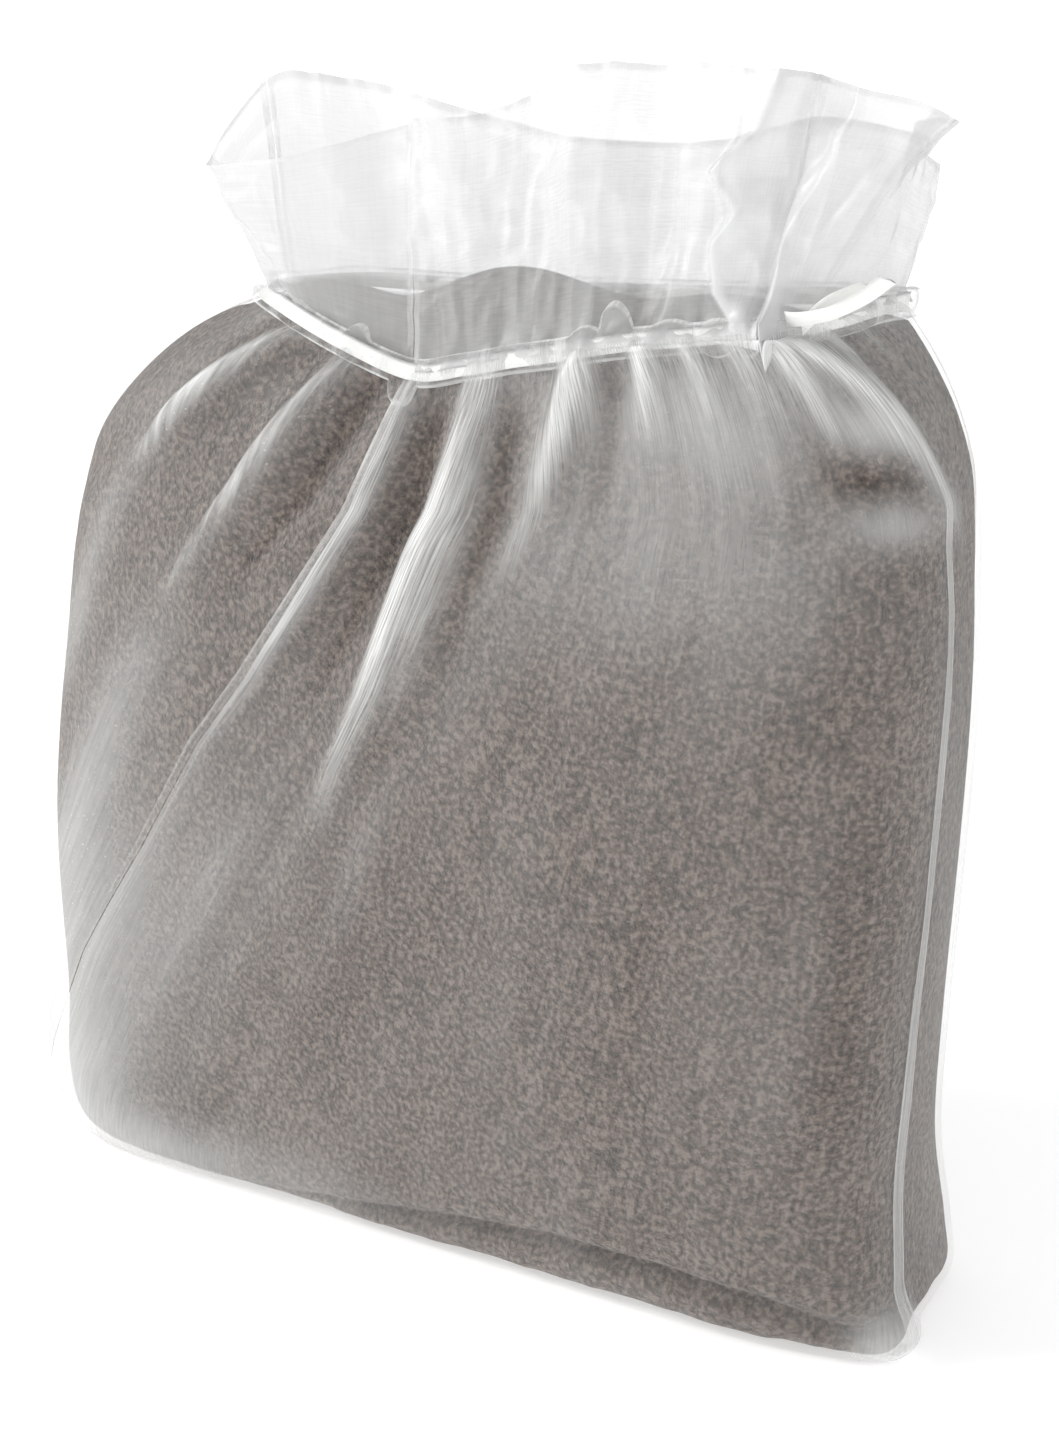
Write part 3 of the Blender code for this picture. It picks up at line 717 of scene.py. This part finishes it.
# The ruffle's organza is the same cloth tinted darker grey than the body's: painted shade
RUFFLE_LOOK = organza("organza_ruffle", 0.39, 0.12, (0.70, 0.71, 0.705))
SEAM_LOOK = organza("organza_doubled", 0.34)
CASING_LOOK = organza("organza_casing", 0.12, 0.6)
SATIN_LOOK = satin("satin_ribbon")
FLEECE_LOOK = fleece("plush_fleece")

rear_left, front_left, front_right, rear_right = -0.29, -0.21, 0.21, 0.29
front_shares = panel(front_left, front_right, 260)
rear_shares = panel(rear_right, rear_left + 1, 260)
front, front_layers_and_light = cloth_grid(front_shares, ups)
back_ups = ups_for(100, 36)
back, back_layers_and_light = cloth_grid(rear_shares, back_ups)

# The bottom joins the front and the back in one sheet
BOTTOM_ROWS = 7
BOTTOM_DEPTH = 0.11
bottom_rows = []
for k in range(1, BOTTOM_ROWS + 1):
    t = k / (BOTTOM_ROWS + 1)
    row = front[0] * (1 - t) + back[0, ::-1] * t
    row[:, 2] = 0.0004 + 0.0008 * abs(2 * t - 1)
    bottom_rows.append(row)
bottom = np.array(bottom_rows)
main = np.concatenate([back[::-1, ::-1], bottom[::-1], front])
no_veil = np.zeros((*bottom.shape[:2], 2))
main_layers_and_light = np.concatenate([back_layers_and_light[::-1, ::-1], no_veil, front_layers_and_light])
length = np.concatenate([
    -up_metres(back_ups)[::-1] - BOTTOM_DEPTH, -np.linspace(0.1, 0.01, BOTTOM_ROWS), metres,
])
main_uv = cloth_uv(front_shares, length)
back_neck = int((back_ups > 1).sum())
front_neck = len(main) - 1 - int((ups > 1).sum())
above = [*range(back_neck), *range(front_neck, len(main))]
main_piece = sheet_object(
    "organza_main", main, main_layers_and_light, main_uv, CLOTH_LOOK, upper=RUFFLE_LOOK, upper_rows=above
)
ride(main_piece, ["main_panel"])

left_shares = panel(rear_left, front_left, 120)
left, left_layers_and_light = cloth_grid(left_shares, ups)
left_uv = cloth_uv(left_shares, metres)
side_above = range(int((ups <= 1).sum()) - 1, len(ups))
left_piece = sheet_object(
    "organza_left", left, left_layers_and_light, left_uv, CLOTH_LOOK, upper=RUFFLE_LOOK, upper_rows=side_above
)
ride(left_piece, ["left_gusset"])
right_shares = panel(front_right, rear_right, 80)
right, right_layers_and_light = cloth_grid(right_shares, ups)
right_uv = cloth_uv(right_shares, metres)
right_piece = sheet_object(
    "organza_right", right, right_layers_and_light, right_uv, CLOTH_LOOK,
    upper=RUFFLE_LOOK, upper_rows=side_above,
)
ride(right_piece, ["right_gusset"])

# The row of the cloth where a seam starts, and how far inside the wall it lies, in metres
SEAM_START = 4
SEAM_DEPTH = 0.0012


def seam_piece(name, node, share, width, fade_from, fade_to):
    """The two seam allowances that lie together inside the wall, fainter toward the floor."""
    half = width / 2 / GIRTH
    shares = np.linspace(share - half, share + half, 7)
    heights = ups[SEAM_START:]
    grid, layers_and_painted_light = cloth_grid(shares, heights)
    inward = np.array([normals_of(shares, up) for up in heights])
    grid = grid - inward * SEAM_DEPTH
    shown = np.interp(heights, (fade_to, fade_from), (-0.34, 0.0))[:, None]
    edge = 0.25 * (np.abs(shares - share) > 0.7 * half)[None, :]
    whiteness = layers_and_painted_light[:, :, 0] * 0.3 + shown + edge
    piece = sheet_object(name, grid, whiteness, cloth_uv(shares, metres[SEAM_START:]), SEAM_LOOK)
    ride(piece, [node])


seam_piece("seam_front_left", "front_left_seam", front_left, 0.0060, 0.85, 0.35)
seam_piece("seam_front_right", "front_right_seam", front_right, 0.0090, -1, -2)
seam_piece("seam_rear_left", "rear_left_seam", rear_left, 0.0060, 0.8, 0.3)
seam_piece("seam_rear_right", "rear_right_seam", rear_right, 0.0060, 0.8, 0.0)


def neck_frame(shares):
    """The neck line at shares round it, with its outward and upward unit vectors."""
    middle = neck_point(shares)
    out = normals_of(shares, 1.0)
    onward = neck_point(shares + 0.002) - neck_point(shares - 0.002)
    rise = np.cross(out, onward)
    rise = rise / np.linalg.norm(rise, axis=1)[:, None]
    return middle, out, rise * np.sign(rise[:, 2])[:, None]


# The casing is a second layer round the neck that puffs between its gathers
casing_shares = np.linspace(-0.5, 0.5, 1201)[:-1]
neck_line, neck_out, neck_rise = neck_frame(casing_shares)
local_neck = np.linalg.norm(neck_point(casing_shares + 0.001) - neck_line, axis=1) / 0.001
gathered = np.zeros(len(casing_shares))
for place, slant, reach, rise, width in GATHERS:
    gathered += hump(wrapped(casing_shares - place) * local_neck, width, width)
over = np.full(len(casing_shares), 0.0052)
under = np.full(len(casing_shares), 0.0058)
lobe = np.zeros(len(casing_shares))
for place, half, above_neck, below_neck in PUFFS:
    off = wrapped(casing_shares - place) * local_neck / half
    shape = np.sqrt(np.clip(1 - off * off, 0, 1))
    over = np.maximum(over, above_neck * shape)
    under = np.maximum(under, below_neck * shape)
    lobe = np.maximum(lobe, shape)
casing_rows, casing_veil = [], []
for turn in np.linspace(-1, 1, 21):
    profile = math.sqrt(max(0.0, 1 - turn * turn))
    drop = turn * (over if turn > 0 else under)
    puff = (0.0012 + 0.0042 * lobe) * profile
    stand = 0.0032 + puff + 0.0008 * gathered * (1 - lobe) * profile
    casing_rows.append(neck_line + neck_rise * drop[:, None] + neck_out * stand[:, None])
    edge = 0.45 * (abs(turn) > 0.86)
    casing_veil.append(0.20 * gathered * (1 - 0.8 * lobe) - 0.06 * profile + edge)
casing_grid = np.array(casing_rows)
casing_uv = cloth_uv(casing_shares, np.linspace(0, 0.014, 21))
casing = sheet_object(
    "casing_channel", casing_grid, np.array(casing_veil), casing_uv, CASING_LOOK, closed=True
)
ride(casing, ["casing"])

# The ribbon lies in the casing and turns a little as it goes
ribbon_rows = []
lean = np.array([
    0.35 * noise.noise(Vector((math.cos(a) * 5, math.sin(a) * 5, 7.0)))
    for a in casing_shares * 2 * math.pi
])
for side in (-1, -0.5, 0, 0.5, 1, 0.5, 0, -0.5):
    inner = RIBBON_THICKNESS if len(ribbon_rows) > 4 else 0.0
    reach = side * RIBBON_WIDTH / 2
    row = neck_line + neck_rise * (reach * np.cos(lean))[:, None]
    row = row + neck_out * (0.0024 - inner + reach * np.sin(lean) * 0.4)[:, None]
    ribbon_rows.append(row)
ribbon_rows.append(ribbon_rows[0])
ribbon_uv = cloth_uv(casing_shares, np.linspace(0, RIBBON_WIDTH * 2, 9))
ribbon_grid = np.array(ribbon_rows)
ribbon = sheet_object(
    "ribbon", ribbon_grid, ribbon_grid[:, :, 0] * 0, ribbon_uv, SATIN_LOOK, closed=True
)
ride(ribbon, ["drawstring"])

# The ribbon's two free ends, flat strips with slanted tips along the lines of their solids:
# the way each goes to the right, outward and up, as shares of its length
LONG_TAIL = np.array([
    (0, 0, 0), (0.20, 0.09, 0.01), (0.52, 0.12, 0.08), (0.80, 0.06, 0.22), (1, -0.02, 0.38),
])
SHORT_TAIL = np.array([(0, 0, 0), (0.22, 0.08, 0.20), (0.52, 0.09, 0.42), (1, -0.02, 0.62)])

# One turn round a ribbon end's section: place across it from -1 to 1, and which face
TAIL_ROUND = (
    (-1, 0), (-0.4, 0), (0.4, 0), (1, 0), (1, 1), (0.4, 1), (-0.4, 1), (-1, 1), (-1, 0),
)

# How much further a ribbon end reaches along its lower edge, in metres
TIP_SLANT = 0.002


def tail_piece(name, node, table, root, lean, length):
    """A flat ribbon end with two faces and closed edges."""
    stations = np.linspace(0, len(table) - 1, 41)
    shares = along(table.astype(float), stations)
    line = root + np.column_stack([shares[:, 0], -shares[:, 1], shares[:, 2]]) * length
    way = np.gradient(line, axis=0)
    way = way / np.linalg.norm(way, axis=1)[:, None]
    onward = np.linspace(0, 1, 41)[:, None]
    across = np.cross((0.0, -1.0, 0.0), way) + (0.0, -0.9, 0.0)
    across = across / np.linalg.norm(across, axis=1)[:, None]
    across = across * onward + lean * (1 - onward)
    across = across / np.linalg.norm(across, axis=1)[:, None]
    face = np.cross(way, across)
    width = RIBBON_WIDTH * (1 - 0.12 * np.sin(onward * math.pi) ** 2)
    curl = 0.0006 * np.sin(onward * math.pi * 1.5)
    rows = []
    for side, depth in TAIL_ROUND:
        bow = curl * (1 - side * side) - depth * RIBBON_THICKNESS
        slant = way * onward * TIP_SLANT * (side < 0)
        rows.append(line + across * width * side / 2 + face * bow + slant)
    grid = np.array(rows).transpose(1, 0, 2)
    start = np.repeat(grid[:1].mean(axis=1, keepdims=True), 9, axis=1)
    end = np.repeat(grid[-1:].mean(axis=1, keepdims=True), 9, axis=1)
    grid = np.concatenate([start, grid, end])
    tail_uv = cloth_uv(np.linspace(0, 0.014, 9), np.linspace(0, length, len(grid)))[:, :, ::-1]
    piece = sheet_object(name, grid, grid[:, :, 0] * 0, tail_uv, SATIN_LOOK)
    ride(piece, [node])
    return piece, line


TAIL_LEAN = np.array((0.10, -0.60, 0.79))
long_tail, long_line = tail_piece(
    "long_ribbon_end", "long_tail", LONG_TAIL, (0.1483, -0.0460, 0.3861), TAIL_LEAN, 0.0345
)
tail_piece(
    "short_ribbon_end", "short_tail", SHORT_TAIL, (0.1537, -0.0443, 0.3832), TAIL_LEAN, 0.022
)

# The blanket, a little clear of the cloth, whose ridges and troughs it follows in part
blanket_shares = np.linspace(-0.5, 0.5, 421)[:-1]
BLANKET_TOP = 0.93


def blanket_row(up):
    """One closed row of the blanket's side."""
    height = along(SECTIONS, up * (len(SECTIONS) - 1))[0, 0]
    base = base_point(blanket_shares, up)
    local = np.linalg.norm(base_point(blanket_shares + 0.001, up) - base, axis=1) / 0.001
    over, layers_and_painted_light, painted_sheen_and_shade = relief(blanket_shares, up, height, local, gathers=False)
    over = over + ripple(blanket_shares, up)
    stand = np.minimum(over, 0) + 0.45 * np.maximum(over, 0) - 0.0026
    side = np.exp(-(wrapped(blanket_shares + 0.25) / 0.050) ** 2)
    slack = side * max(0.0, 1 - height / 0.46)
    stand = stand - 0.011 * slack * slack * (3 - 2 * slack)
    level = height * NECK_HEIGHT
    groove_at = np.interp(blanket_shares, LOW_FOLD[:, 0], LOW_FOLD[:, 1])
    groove = np.interp(blanket_shares, LOW_FOLD[:, 0], LOW_FOLD[:, 2])
    stand = stand - groove * np.exp(-((level - groove_at) / 0.0034) ** 2)
    return base + normals_of(blanket_shares, up) * stand[:, None]


def crown(points):
    """How far the blanket's top stands above its rim."""
    x, y = points[:, 0], points[:, 1]
    middle = 0.020 * np.exp(-((x - 0.026) / 0.046) ** 2 - ((y + 0.016) / 0.026) ** 2)
    left = 0.012 * np.exp(-((x + 0.066) / 0.030) ** 2 - ((y + 0.010) / 0.024) ** 2)
    right = 0.011 * np.exp(-((x - 0.112) / 0.034) ** 2 - ((y + 0.012) / 0.024) ** 2)
    return middle + left + right


blanket_rows = [blanket_row(up) for up in np.linspace(0.03, BLANKET_TOP, 180)]
low = blanket_rows[0]
middle = low.mean(axis=0)
for shrink, level in FOOT_ROWS:
    row = middle + (low - middle) * shrink
    row[:, 2] = level
    blanket_rows.insert(0, row)
rim = blanket_rows[-1]
middle = rim.mean(axis=0)
for t in np.linspace(0, 1, 36)[1:]:
    shrink = math.cos(t * math.pi / 2) if t < 1 else 0.01
    row = middle + (rim - middle) * shrink
    lift = math.sin(t * math.pi / 2)
    row[:, 2] = rim[:, 2] * (1 - lift) + (middle[2] + 0.004) * lift
    row[:, 2] += crown(row) * min(1.0, 2.5 * lift)
    blanket_rows.append(row)
blanket_grid = np.array(blanket_rows)
blanket_uv = cloth_uv(blanket_shares, np.linspace(0, 0.5, len(blanket_rows)))
blanket = sheet_object(
    "fleece_blanket", blanket_grid, blanket_grid[:, :, 0] * 0, blanket_uv, FLEECE_LOOK, closed=True
)
ride(blanket, ["folded_blanket"])

# Floor, light and camera. The floor curves up far round the object, so no horizon shows
FLOOR_RADIUS = 2.0
CURVE_RADIUS = 1.3
FLOOR_SIDES = 96
turns = np.linspace(0, 2 * math.pi, FLOOR_SIDES + 1)[:-1]
ring = np.column_stack([np.cos(turns), np.sin(turns), turns * 0])
floor_rows = [ring * 0.01, ring * FLOOR_RADIUS]
for bend in np.linspace(0, math.pi / 2, 17)[1:]:
    reach = FLOOR_RADIUS + CURVE_RADIUS * math.sin(bend)
    floor_rows.append(ring * reach + (0, 0, CURVE_RADIUS * (1 - math.cos(bend))))
floor_grid = np.array(floor_rows)[:, ::-1]
paper = Nodes("paper")
floor_uv = cloth_uv(np.linspace(0, 1, FLOOR_SIDES), np.linspace(0, 1, len(floor_rows)))
floor = sheet_object(
    "floor", floor_grid, floor_grid[:, :, 0] * 0, floor_uv, paper.material, closed=True
)
paper.shader.inputs["Base Color"].default_value = (0.95, 0.95, 0.95, 1)
paper.set(Roughness=0.9, Emission_Strength=0.45)
paper.shader.inputs["Emission Color"].default_value = (1, 1, 1, 1)

bpy.context.scene.view_settings.view_transform = "Standard"
world = bpy.data.worlds.new("studio")
bpy.context.scene.world = world
world.use_nodes = True
world.node_tree.nodes["Background"].inputs[0].default_value = (1, 1, 1, 1)
world.node_tree.nodes["Background"].inputs[1].default_value = 0.52


def area_light(name, place, target, size, power):
    data = bpy.data.lights.new(name, "AREA")
    data.size = size
    data.energy = power
    lamp = bpy.data.objects.new(name, data)
    lamp.location = place
    lamp.rotation_euler = (Vector(target) - Vector(place)).to_track_quat("-Z", "Y").to_euler()
    bpy.context.scene.collection.objects.link(lamp)


area_light("key", (-1.7, -0.9, 1.3), (0, 0, 0.2), 0.6, 22)

camera_data = bpy.data.cameras.new("photo")
camera_data.lens = 50
camera_data.sensor_width = 36
camera = bpy.data.objects.new("photo", camera_data)
AZIMUTH, ELEVATION, DISTANCE = math.radians(30), math.radians(15.5), 0.82
AIM = Vector((0.022, 0, 0.217))
toward = Vector((
    math.sin(AZIMUTH) * math.cos(ELEVATION),
    -math.cos(AZIMUTH) * math.cos(ELEVATION),
    math.sin(ELEVATION),
))
camera.location = AIM + toward * DISTANCE
camera.rotation_euler = (-toward).to_track_quat("-Z", "Y").to_euler()
bpy.context.scene.collection.objects.link(camera)
bpy.context.scene.camera = camera
